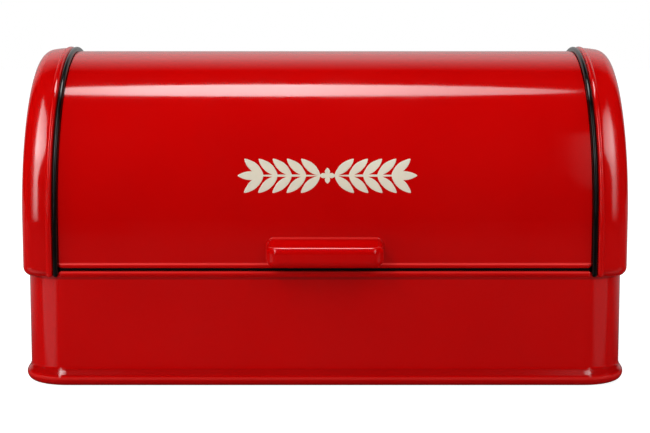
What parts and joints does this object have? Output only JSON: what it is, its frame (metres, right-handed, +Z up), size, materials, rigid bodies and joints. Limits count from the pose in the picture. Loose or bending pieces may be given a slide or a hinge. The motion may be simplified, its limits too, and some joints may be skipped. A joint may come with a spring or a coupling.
{
  "type": "bread box",
  "caption": "Arched steel bread box whose curved lid turns back on side pivots, with hollow end caps, a deep base and a front pull.",
  "frame": {"origin": "centre of the bounding box in plan, on the ground under the feet", "axes": "+X along the box to the viewer's right, -Y out of the front with the pull, +Z up"},
  "size_m": [0.424, 0.251, 0.2335],
  "materials": {
    "red_enamel": "high gloss enamel",
    "inner_enamel": "gloss enamel",
    "handle_enamel": "high gloss enamel",
    "painted_rivet": "gloss enamel",
    "black_seal": "satin black rubber",
    "foot_rubber": "matt black rubber",
    "zinc_steel": "bright zinc plated",
    "nylon": "natural nylon",
    "cream_enamel": "satin enamel"
  },
  "bodies": {
    "housing": {"base_floor": "red_enamel", "base_wall": "red_enamel", "left_cap": "red_enamel", "left_cheek": "inner_enamel", "left_cheek_rivet_1": "painted_rivet", "left_cheek_rivet_2": "painted_rivet", "left_cheek_rivet_3": "painted_rivet", "left_cheek_rivet_4": "painted_rivet", "left_edge_seal": "black_seal", "left_front_foot": "foot_rubber", "left_pivot_pin": "zinc_steel", "left_pivot_spacer": "nylon", "left_rear_foot": "foot_rubber", "left_stop_bumper": "black_seal", "rear_shell": "red_enamel", "right_cap": "red_enamel", "right_cheek": "inner_enamel", "right_cheek_rivet_1": "painted_rivet", "right_cheek_rivet_2": "painted_rivet", "right_cheek_rivet_3": "painted_rivet", "right_cheek_rivet_4": "painted_rivet", "right_edge_seal": "black_seal", "right_front_foot": "foot_rubber", "right_pivot_pin": "zinc_steel", "right_pivot_spacer": "nylon", "right_rear_foot": "foot_rubber", "right_stop_bumper": "black_seal", "shell_rivet_1": "painted_rivet", "shell_rivet_2": "painted_rivet", "shell_rivet_3": "painted_rivet"},
    "lid": {"handle": "handle_enamel", "left_arm_bush": "nylon", "left_arm_rivet_1": "painted_rivet", "left_arm_rivet_2": "painted_rivet", "left_arm_rivet_3": "painted_rivet", "left_handle_screw": "zinc_steel", "left_handle_washer": "zinc_steel", "left_lid_arm": "inner_enamel", "lid_panel": "red_enamel", "lid_seal": "black_seal", "right_arm_bush": "nylon", "right_arm_rivet_1": "painted_rivet", "right_arm_rivet_2": "painted_rivet", "right_arm_rivet_3": "painted_rivet", "right_handle_screw": "zinc_steel", "right_handle_washer": "zinc_steel", "right_lid_arm": "inner_enamel"}
  },
  "joints": [
    {"name": "lid_pivot", "type": "hinge", "parent": "housing", "child": "lid", "pos_m": [0, 0.0075, 0.116], "axis": [-1, 0, 0], "range_deg": [0, 86]}
  ]
}
